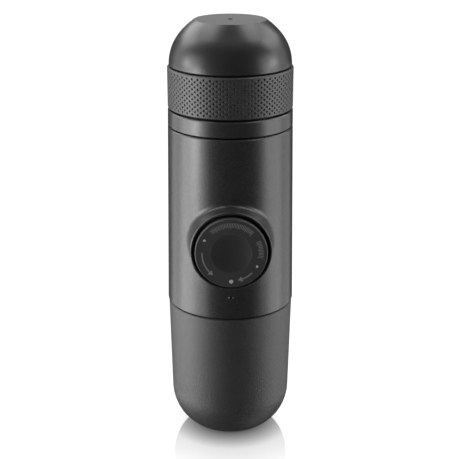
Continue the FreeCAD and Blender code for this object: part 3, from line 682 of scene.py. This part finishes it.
class ESPRESSO_OT_grip(bpy.types.Operator):
    """Model the grip band with its staggered rows of pits"""

    bl_idname = "espresso.grip"
    bl_label = "Grip band"

    def execute(self, context):
        size = sizes()
        shape = Shape()
        radius = reach_of("cup_grip_ring")
        inner = radius - size.band_wall
        foot = foot_of("cup_grip_ring")
        lip_top = top_of("cup_grip_ring")
        top = lip_top - SEAM
        middle = (foot + top) / 2
        half_field = (size.pit_rows - 1) / 2 * size.pit_pitch
        column_step = TURN / size.pit_columns
        for row in range(2 * size.pit_rows - 1):
            level = middle - half_field + row * size.pit_pitch / 2
            for column in range(size.pit_columns):
                pit_cell(shape, size, (column + row % 2 / 2) * column_step, level, radius)
        angles = [column_step * index / EDGE_STEPS for index in range(size.pit_columns * EDGE_STEPS)]
        half = EDGE_STEPS / 2
        peaks = [abs(index % EDGE_STEPS - half) / half for index in range(len(angles))]
        above = [(radius, top - size.band_bevel), (radius - size.band_bevel, top), (inner, top)]
        below = [(inner, foot), (radius - size.band_bevel, foot), (radius, foot + size.band_bevel)]
        edges = []
        for side in (-1, 1):
            levels = [middle + side * (half_field + size.pit_pitch / 2 * peak) for peak in peaks]
            edges.append(shape.ring([round_point(radius, a, z) for a, z in zip(angles, levels)]))
        under = [shape.ring([round_point(r, a, z) for a in angles]) for r, z in below]
        over = [shape.ring([round_point(r, a, z) for a in angles]) for r, z in above]
        shape.wall(under + [edges[0]])
        shape.wall([edges[1]] + over + [under[0]])
        band = shape.piece("grip_band", "charcoal_grip", "cup", "shell_plastic")
        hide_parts("cup_grip_ring")
        # The band's lip is drawn as a dark ring, painted shade in the seam between band and dome
        lip_foot = top - size.band_bevel
        lip = inner + size.band_lip
        seam_shade_ring("band_lip", inner, lip, lip_foot, lip_top, len(angles), "cup", "shell_plastic")
        return {"FINISHED"}


# Marks on the piston's face. Angles are degrees as seen from the front, with 90 straight up
SCALE_STRETCHES = ((46.0, 130.0), (-8.0, 25.0))
SCALE_INNER = 10.2 * MM
SCALE_OUTER = 12.6 * MM
TICK_STEP = 3.0
TICK_WIDTH = 1.2
LONG_TICK_EVERY = 5
TICK_SHORTER = 0.5 * MM
TURN_ARROWS = ((178.0, 222.0), (-44.0, -68.0))
ARROW_INNER = 11.1 * MM
ARROW_OUTER = 11.6 * MM
ARROW_HEAD_INNER = 10.2 * MM
ARROW_HEAD_OUTER = 12.5 * MM
ARROW_HEAD_TURN = 9.0
# Position dots: distance from the piston's axis, angle and radius
POSITION_DOTS = (
    (11.6 * MM, -90.0, 0.82 * MM),
    (11.7 * MM, 152.0, 0.5 * MM),
    (11.4 * MM, -28.0, 0.5 * MM),
)
# Section of a dot from its rim inward: shares of its radius and of its height
DOT_SECTION = ((1.0, 0.0), (0.96, 0.6), (0.8, 0.9))
DOT_SIDES = 24


def flat_mark(shape, outline, stand_off):
    """A thin printed mark on the piston's face, from its outline as (radius, angle) spots."""
    back = shape.ring([face_point(radius, angle, 0.0) for radius, angle in outline])
    front = shape.ring([face_point(radius, angle, stand_off) for radius, angle in outline])
    shape.wall([back, front])
    shape.faces.append(tuple(front))
    shape.faces.append(tuple(reversed(back)))


def arc_mark(inner, outer, start, end, steps=12):
    """Outline of a part of a ring on the face, angles in degrees."""
    angles = [math.radians(start + (end - start) * index / steps) for index in range(steps + 1)]
    return [(outer, angle) for angle in angles] + [(inner, angle) for angle in reversed(angles)]


def dot_mark(shape, distance, angle, radius, stand_off):
    """A low domed dot on the face."""
    rings = []
    for reach, lift in DOT_SECTION:
        ring = []
        for index in range(DOT_SIDES):
            turn = TURN * index / DOT_SIDES
            x = distance * math.cos(angle) + reach * radius * math.cos(turn)
            z = distance * math.sin(angle) + reach * radius * math.sin(turn)
            ring.append((x, -PISTON_FACE - lift * stand_off, PISTON_HEIGHT + z))
        rings.append(shape.ring(ring))
    shape.wall(rings)
    shape.cap(rings[-1], face_point(distance, angle, stand_off))
    shape.faces.append(tuple(reversed(rings[0])))


class ESPRESSO_OT_piston_marks(bpy.types.Operator):
    """Print plain ticks, two turn arrows and the position dots on the piston's face"""

    bl_idname = "espresso.piston_marks"
    bl_label = "Piston marks"

    def execute(self, context):
        size = sizes()
        scale = Shape()
        for first, last in SCALE_STRETCHES:
            for index in range(round((last - first) / TICK_STEP) + 1):
                start = first + index * TICK_STEP - TICK_WIDTH / 2
                short = 0.0 if index % LONG_TICK_EVERY == 0 else TICK_SHORTER
                tick = arc_mark(SCALE_INNER + short, SCALE_OUTER, start, start + TICK_WIDTH, 1)
                flat_mark(scale, tick, size.print_height)
        for start, end in TURN_ARROWS:
            way = 1 if end > start else -1
            flat_mark(scale, arc_mark(ARROW_INNER, ARROW_OUTER, start, end)[:: way], size.print_height)
            tip = ((ARROW_INNER + ARROW_OUTER) / 2, math.radians(end + way * ARROW_HEAD_TURN))
            back = math.radians(end)
            head = [tip, (ARROW_HEAD_OUTER, back), (ARROW_HEAD_INNER, back)]
            flat_mark(scale, head[:: way], size.print_height)
        scale.piece("piston_scale", "grey_print", "piston", "piston_plastic")
        dots = Shape()
        for distance, angle, radius in POSITION_DOTS:
            dot_mark(dots, distance, math.radians(angle), radius, size.print_height * 2)
        dots.piece("piston_dots", "light_print", "piston", "piston_plastic")
        return {"FINISHED"}


# Small marks: how much narrower the casing is at its top, the index mark's level, and the distance of the
# two painted highlights beside it. A section runs from the rim inward, as radius and height over the
# surface
CASING_TAPER = 1.1 * MM
INDEX_LEVEL = 68.3 * MM
INDEX_HIGHLIGHT_ASIDE = 0.8 * MM
INDEX_SECTION = (
    (0.55 * MM, -0.1 * MM), (0.54 * MM, 0.05 * MM), (0.46 * MM, 0.1 * MM), (0.36 * MM, 0.04 * MM),
    (0.2 * MM, -0.02 * MM),
)
INDEX_HIGHLIGHT_SECTION = ((0.22 * MM, -0.1 * MM), (0.2 * MM, 0.05 * MM), (0.14 * MM, 0.07 * MM))
MOULDING_SECTION = (
    (1.0 * MM, -0.05 * MM), (0.98 * MM, 0.03 * MM), (0.8 * MM, 0.08 * MM), (0.6 * MM, 0.04 * MM),
    (0.4 * MM, 0.01 * MM),
)
LITTLE_RING_SIDES = 32
ACROSS = (1, 0, 0)
FORWARD = (0, -1, 0)
UPWARD = (0, 0, 1)


def little_ring(name, material_name, centre, toward, across, section, body, slot):
    """A small turned boss on a surface, from (radius, height) spots that start at its rim."""
    centre = Vector(centre)
    toward = Vector(toward)
    across = Vector(across)
    over = toward.cross(across)
    shape = Shape()
    rings = []
    for radius, height in section:
        ring = []
        for index in range(LITTLE_RING_SIDES):
            turn = TURN * index / LITTLE_RING_SIDES
            spot = across * (radius * math.cos(turn)) + over * (radius * math.sin(turn))
            ring.append(tuple(centre + spot + toward * height))
        rings.append(shape.ring(ring))
    shape.wall(rings)
    shape.cap(rings[-1], tuple(centre + toward * section[-1][1]))
    shape.faces.append(tuple(reversed(rings[0])))
    shape.piece(name, material_name, body, slot)


class ESPRESSO_OT_small_marks(bpy.types.Operator):
    """Model the index mark under the piston and the moulding point on the cup, both dark as painted shade,
    the index mark with two painted highlights
    """

    bl_idname = "espresso.small_marks"
    bl_label = "Small marks"

    def execute(self, context):
        casing_low, casing_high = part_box("casing")
        share = (INDEX_LEVEL - casing_low.z) / (casing_high.z - casing_low.z)
        front = -casing_high.x + CASING_TAPER * share
        # The index mark is dark as painted shade of a small hollow, and the two light dots beside it are
        # painted highlights on its rim
        little_ring(
            "index_mark", "dark_silicone", (0.0, front, INDEX_LEVEL), FORWARD, ACROSS, INDEX_SECTION,
            "pump_body", "shell_plastic",
        )
        for way, name in ((-1, "index_tick_left"), (1, "index_tick_right")):
            centre = (way * INDEX_HIGHLIGHT_ASIDE, front, INDEX_LEVEL)
            little_ring(
                name, "light_print", centre, FORWARD, ACROSS, INDEX_HIGHLIGHT_SECTION,
                "pump_body", "shell_plastic",
            )
        # The moulding point is dark as painted shade of a small recess
        little_ring(
            "moulding_point", "dark_silicone", (0.0, 0.0, cad_box[1].z), UPWARD, ACROSS, MOULDING_SECTION,
            "cup", "shell_plastic",
        )
        return {"FINISHED"}


# A ridge's section, as shares of its width and of its height, and how fast it rises from its ends
RIDGE_SECTION = ((-0.5, -0.1), (-0.22, 1.0), (0.22, 1.0), (0.5, -0.1))
RIDGE_WIDTH = 1.1 * MM
RIDGE_FADE = 14.0
RIDGE_STEPS = 96

# Walls that carry the threads, by radius
SPIGOT_WALL = 23.6 * MM
NECK_WALL = 23.9 * MM
DECK_WALL = 21.0 * MM
SKIRT_WALL = 21.3 * MM


def ridge_around(shape, radius, lift, foot, top, lead, start):
    """One helical ridge of a thread. A negative lift stands inward."""
    turns = (top - foot) / lead
    rings = []
    for index in range(RIDGE_STEPS + 1):
        share = index / RIDGE_STEPS
        angle = start + TURN * turns * share
        fade = min(1.0, share * RIDGE_FADE, (1 - share) * RIDGE_FADE)
        ring = []
        for across, out in RIDGE_SECTION:
            distance = radius + lift * (out if out < 0 else out * fade)
            level = foot + (top - foot) * share + across * RIDGE_WIDTH
            ring.append(round_point(distance, angle, level))
        rings.append(shape.ring(ring if lift > 0 else ring[::-1]))
    shape.wall(rings)
    shape.faces.append(tuple(reversed(rings[0])))
    shape.faces.append(tuple(rings[-1]))


class ESPRESSO_OT_threads(bpy.types.Operator):
    """Model the threads of the tank joint and of the brewing head"""

    bl_idname = "espresso.threads"
    bl_label = "Threads"

    def execute(self, context):
        size = sizes()
        tank_top = top_of("water_tank")
        frame_top = top_of("pump_frame")
        head_foot = foot_of("outlet_head")
        spigot = ("inner_plastic", "pump_body", "frame_plastic")
        neck = ("charcoal_tank", "tank", "shell_plastic")
        skirt = ("charcoal_collar", "head", "shell_plastic")
        # Each thread: its name, wall, side of the wall, foot, top, turn in starts, and where it belongs
        joints = (
            ("spigot_thread", SPIGOT_WALL, 1, tank_top - 7.6 * MM, tank_top - 1.2 * MM, 0.0, spigot),
            ("neck_thread", NECK_WALL, -1, tank_top - 8.2 * MM, tank_top - 1.4 * MM, 0.5, neck),
            ("deck_thread", DECK_WALL, 1, frame_top - 7.8 * MM, frame_top - 1.2 * MM, 0.0, spigot),
            ("skirt_thread", SKIRT_WALL, -1, head_foot + 1.2 * MM, head_foot + 8.0 * MM, 0.5, skirt),
        )
        for name, radius, side, foot, top, phase, (material_name, body, slot) in joints:
            shape = Shape()
            for start in range(size.thread_starts):
                lift = side * size.thread_height
                level_turn = TURN * foot / size.thread_lead
                angle = TURN * (start + phase) / size.thread_starts + level_turn
                ridge_around(shape, radius, lift, foot, top, size.thread_lead, angle)
            shape.piece(name, material_name, body, slot)
        return {"FINISHED"}


# Return spring: pitch of its closed end turns in wire diameters, steps in a turn, and sides of the wire
CLOSED_PITCH = 1.21
SPRING_STEPS = 40
WIRE_SIDES = 14


def spring_climb(turn, turns, closed_pitch, open_pitch):
    """Climb of the spring's wire after some turns: closed at both ends, open between."""
    extra = open_pitch - closed_pitch
    if turn > turns / 2:
        whole = closed_pitch + open_pitch * (turns - 1)
        return whole - spring_climb(turns - turn, turns, closed_pitch, open_pitch)
    if turn < 1:
        return closed_pitch * turn + extra * (turn**3 - turn**4 / 2)
    return closed_pitch + extra / 2 + open_pitch * (turn - 1)


class ESPRESSO_OT_spring(bpy.types.Operator):
    """Wind the return spring"""

    bl_idname = "espresso.spring"
    bl_label = "Return spring"

    def execute(self, context):
        size = sizes()
        wire = size.spring_wire / 2
        low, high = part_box("piston_spring")
        back = -high.y + wire
        front = -low.y - wire
        radius = (high.x - low.x) / 2 - wire
        closed_pitch = size.spring_wire * CLOSED_PITCH
        open_pitch = (front - back - closed_pitch) / (size.spring_turns - 1)
        centres = []
        for index in range(size.spring_turns * SPRING_STEPS + 1):
            turn = index / SPRING_STEPS
            depth = back + spring_climb(turn, size.spring_turns, closed_pitch, open_pitch)
            angle = TURN * turn
            centres.append(
                Vector((radius * math.cos(angle), -depth, PISTON_HEIGHT + radius * math.sin(angle)))
            )
        shape = Shape()
        rings = []
        for index, centre in enumerate(centres):
            ahead = (centres[min(index + 1, len(centres) - 1)] - centres[max(index - 1, 0)]).normalized()
            out = (centre - Vector((0, centre.y, PISTON_HEIGHT))).normalized()
            side = ahead.cross(out).normalized()
            out = side.cross(ahead)
            ring = []
            for spot in range(WIRE_SIDES):
                turn = TURN * spot / WIRE_SIDES
                ring.append(tuple(centre + out * (wire * math.cos(turn)) + side * (wire * math.sin(turn))))
            rings.append(shape.ring(ring))
        shape.wall(rings)
        shape.faces.append(tuple(reversed(rings[0])))
        shape.faces.append(tuple(rings[-1]))
        spring = shape.piece("return_spring", "spring_steel_wire", None, "spring_steel")
        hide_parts("piston_spring")
        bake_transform(spring)
        return {"FINISHED"}


# Softboxes: name, azimuth from the front and elevation in degrees, width and height in metres, watts
SOFTBOXES = (
    ("left_peak", -65, -5, 0.15, 0.22, 1.2),
    ("left_low_front", -56, -20, 0.26, 0.40, 0.95),
    ("left_low", -84, -20, 0.30, 0.40, 2.3),
    ("left_low_back", -114, -20, 0.36, 0.40, 0.85),
    ("right_peak", 69, -5, 0.10, 0.22, 0.28),
    ("right_low_front", 66, -20, 0.26, 0.40, 0.4),
    ("right_low", 88, -20, 0.28, 0.40, 1.1),
    ("right_low_back", 118, -20, 0.40, 0.40, 0.55),
    ("left_side", -75, 14, 0.40, 0.28, 1.15),
    ("left_side_back", -112, 14, 0.34, 0.28, 0.4),
    ("right_side", 76, 14, 0.40, 0.28, 1.1),
    ("right_side_back", 110, 14, 0.34, 0.28, 0.3),
    ("left_spot", -86, 10, 0.16, 0.14, 0.6),
    ("right_spot", 84, 10, 0.16, 0.14, 0.42),
    ("left_high_spot", -98, 44, 0.14, 0.14, 0.15),
    ("right_high_spot", 98, 44, 0.14, 0.14, 0.15),
    ("left_above", -130, 40, 0.46, 0.26, 1.65),
    ("right_above", 116, 40, 0.46, 0.26, 1.1),
    ("behind", 180, 18, 0.30, 0.20, 0.16),
    ("top_left", -115, 66, 0.45, 0.22, 1.3),
    ("top_right", 115, 66, 0.45, 0.22, 1.3),
    ("top_front", 0, 70, 0.36, 0.22, 0.14),
    ("right_foot", 90, -60, 0.30, 0.30, 0.24),
)
SOFTBOX_DISTANCE = 0.6
LIT_POINT = Vector((0.0, 0.0, 0.09))


def softbox(name, azimuth, elevation, wide, tall, power, distance):
    """An area light at an azimuth from the front, positive to the right, turned to the maker."""
    light = bpy.data.lights.new(name, "AREA")
    light.shape = "RECTANGLE"
    light.size = wide
    light.size_y = tall
    light.energy = power
    lamp = bpy.data.objects.new(name, light)
    turn = math.radians(azimuth)
    climb = math.radians(elevation)
    toward = Vector((math.sin(turn) * math.cos(climb), -math.cos(turn) * math.cos(climb), math.sin(climb)))
    lamp.location = LIT_POINT + toward * distance
    lamp.rotation_mode = "QUATERNION"
    lamp.rotation_quaternion = toward.to_track_quat("Z", "Y")
    bpy.context.scene.collection.objects.link(lamp)
    return lamp


# The floor: half its side, the squares along it, how far under the foot it lies, and where its mirror
# image starts to fade, as a share of where it ends
FLOOR_HALF = 12.0
FLOOR_SQUARES = 4
FLOOR_DROP = 0.02 * MM
FLOOR_GLOSS_START = 0.24
FLOOR_ROUGHNESS = (0.03, 0.05)
FLOOR_CLOUDS = 30.0
# The shadow round the foot: its darkest tone, and how open the floor is where the shadow ends
CONTACT_TONE = 0.03
CONTACT_OPEN = 0.9
CONTACT_SAMPLES = 24


def make_floor():
    """A wide white floor that mirrors the foot of the maker and darkens where the two meet."""
    setting = studio()
    row = FLOOR_SQUARES + 1
    line = [FLOOR_HALF * (2 * index / FLOOR_SQUARES - 1) for index in range(row)]
    points = [(x, y, -FLOOR_DROP) for y in line for x in line]
    corners = [y * row + x for y in range(FLOOR_SQUARES) for x in range(FLOOR_SQUARES)]
    faces = [(corner, corner + 1, corner + 1 + row, corner + row) for corner in corners]
    nodes = Nodes("white_floor")
    nodes.tree.nodes.remove(nodes.shader)
    place = nodes.place()
    reach = setting.floor_gloss_reach
    gloss = nodes.spread(
        nodes.length(place), setting.floor_gloss, 0.0, reach * FLOOR_GLOSS_START, reach, "SMOOTHSTEP"
    )
    mirror = nodes.add("ShaderNodeBsdfGlossy")
    rough = nodes.spread(nodes.noise(place, FLOOR_CLOUDS, detail=3.0), *FLOOR_ROUGHNESS)
    nodes.join(rough, mirror.inputs["Roughness"])
    contact = nodes.add("ShaderNodeAmbientOcclusion", samples=CONTACT_SAMPLES)
    contact.inputs["Distance"].default_value = setting.contact_reach
    open_share = nodes.spread(contact.outputs["AO"], 0.0, 1.0, 0.0, CONTACT_OPEN)
    glow = nodes.add("ShaderNodeEmission")
    glow.inputs["Strength"].default_value = setting.floor_level
    nodes.join(nodes.blend(open_share, grey(CONTACT_TONE), grey(1.0)), glow.inputs["Color"])
    mix = nodes.add("ShaderNodeMixShader")
    nodes.join(gloss, mix.inputs["Fac"])
    nodes.join(glow.outputs["Emission"], mix.inputs[1])
    nodes.join(mirror.outputs["BSDF"], mix.inputs[2])
    nodes.join(mix.outputs["Shader"], nodes.tree.nodes["Material Output"].inputs["Surface"])
    mesh = bpy.data.meshes.new("studio_floor")
    mesh.from_pydata(points, [], faces)
    mesh.materials.append(nodes.material)
    floor = bpy.data.objects.new("studio_floor", mesh)
    bpy.context.scene.collection.objects.link(floor)
    floor.visible_diffuse = False
    floor.visible_glossy = False
    floor.visible_shadow = False
    return floor


# Screens for the floor: name, azimuth from the front and elevation in degrees
FLOOR_SCREENS = (
    ("screen_behind", 180, 25), ("screen_left", -90, 25), ("screen_front", 0, 25), ("screen_right", 90, 25),
    ("screen_above", 0, 90),
)
SCREEN_SIDE = 3.2
SCREEN_DISTANCE = 1.56


def floor_screens(floor):
    """White screens round the maker and above it, which only the floor is lit by and mirrors."""
    receivers = bpy.data.collections.new("screen_receivers")
    receivers.objects.link(floor)
    power = math.pi * SCREEN_SIDE**2 * studio().screen_level
    for name, azimuth, elevation in FLOOR_SCREENS:
        screen = softbox(name, azimuth, elevation, SCREEN_SIDE, SCREEN_SIDE, power, SCREEN_DISTANCE)
        screen.visible_camera = False
        screen.light_linking.receiver_collection = receivers


def make_world():
    """A room that is white to the camera and dim to the maker."""
    world = bpy.data.worlds.new("studio_room")
    bpy.context.scene.world = world
    world.use_nodes = True
    tree = world.node_tree
    tree.nodes.clear()
    output = tree.nodes.new("ShaderNodeOutputWorld")
    dim = tree.nodes.new("ShaderNodeBackground")
    white = tree.nodes.new("ShaderNodeBackground")
    ray = tree.nodes.new("ShaderNodeLightPath")
    mix = tree.nodes.new("ShaderNodeMixShader")
    dim.inputs["Strength"].default_value = studio().room_level
    for background in (dim, white):
        background.inputs["Color"].default_value = (*grey(1.0), 1.0)
    tree.links.new(ray.outputs["Is Camera Ray"], mix.inputs["Fac"])
    tree.links.new(dim.outputs["Background"], mix.inputs[1])
    tree.links.new(white.outputs["Background"], mix.inputs[2])
    tree.links.new(mix.outputs["Shader"], output.inputs["Surface"])


SENSOR_WIDTH = 36.0
NEAREST_SEEN = 0.01
FARTHEST_SEEN = 100.0


def make_camera():
    """A camera a little above the cup, looking down on the maker."""
    setting = studio()
    data = bpy.data.cameras.new("camera")
    data.lens = setting.lens
    data.sensor_width = SENSOR_WIDTH
    data.clip_start = NEAREST_SEEN
    data.clip_end = FARTHEST_SEEN
    camera = bpy.data.objects.new("camera", data)
    turn = setting.camera_round
    camera.location = (
        -setting.camera_distance * math.sin(turn),
        -setting.camera_distance * math.cos(turn),
        setting.camera_height,
    )
    heading = setting.camera_aside - turn
    camera.rotation_euler = (math.pi / 2 - setting.camera_pitch, 0.0, heading)
    bpy.context.scene.collection.objects.link(camera)
    bpy.context.scene.camera = camera


class ESPRESSO_OT_stage(bpy.types.Operator):
    """Set up the pale floor, the softboxes, the white background and the camera"""

    bl_idname = "espresso.stage"
    bl_label = "Studio"

    def execute(self, context):
        context.scene.view_settings.view_transform = "Standard"
        floor_screens(make_floor())
        make_world()
        for name, azimuth, elevation, wide, tall, watts in SOFTBOXES:
            power = watts * studio().light_level
            softbox(name, azimuth, elevation, wide, tall, power, SOFTBOX_DISTANCE)
        make_camera()
        return {"FINISHED"}


class ESPRESSO_PT_maker(bpy.types.Panel):
    """Lists the sizes, the colours, the studio and the steps that dress the maker"""

    bl_idname = "ESPRESSO_PT_maker"
    bl_label = "Espresso maker"
    bl_space_type = "VIEW_3D"
    bl_region_type = "UI"
    bl_category = "Espresso maker"

    def draw(self, context):
        for step in STEPS:
            self.layout.operator(step.bl_idname, text=step.bl_label)
        for group in (sizes(), colours(), studio()):
            box = self.layout.box()
            for name in group.__annotations__:
                box.prop(group, name)


GROUPS = (EspressoSizes, EspressoColours, EspressoStudio)
STEPS = (
    ESPRESSO_OT_shell,
    ESPRESSO_OT_inside,
    ESPRESSO_OT_grip,
    ESPRESSO_OT_piston_marks,
    ESPRESSO_OT_small_marks,
    ESPRESSO_OT_threads,
    ESPRESSO_OT_spring,
    ESPRESSO_OT_stage,
)


def register():
    for kind in GROUPS + STEPS + (ESPRESSO_PT_maker,):
        bpy.utils.register_class(kind)
    bpy.types.Scene.espresso_sizes = PointerProperty(type=EspressoSizes)
    bpy.types.Scene.espresso_colours = PointerProperty(type=EspressoColours)
    bpy.types.Scene.espresso_studio = PointerProperty(type=EspressoStudio)


def unregister():
    del bpy.types.Scene.espresso_studio
    del bpy.types.Scene.espresso_colours
    del bpy.types.Scene.espresso_sizes
    for kind in reversed(GROUPS + STEPS + (ESPRESSO_PT_maker,)):
        bpy.utils.unregister_class(kind)


def main():
    register()
    bpy.ops.espresso.shell()
    bpy.ops.espresso.inside()
    bpy.ops.espresso.grip()
    bpy.ops.espresso.piston_marks()
    bpy.ops.espresso.small_marks()
    bpy.ops.espresso.threads()
    bpy.ops.espresso.spring()
    bpy.ops.espresso.stage()


if __name__ == "__main__":
    main()
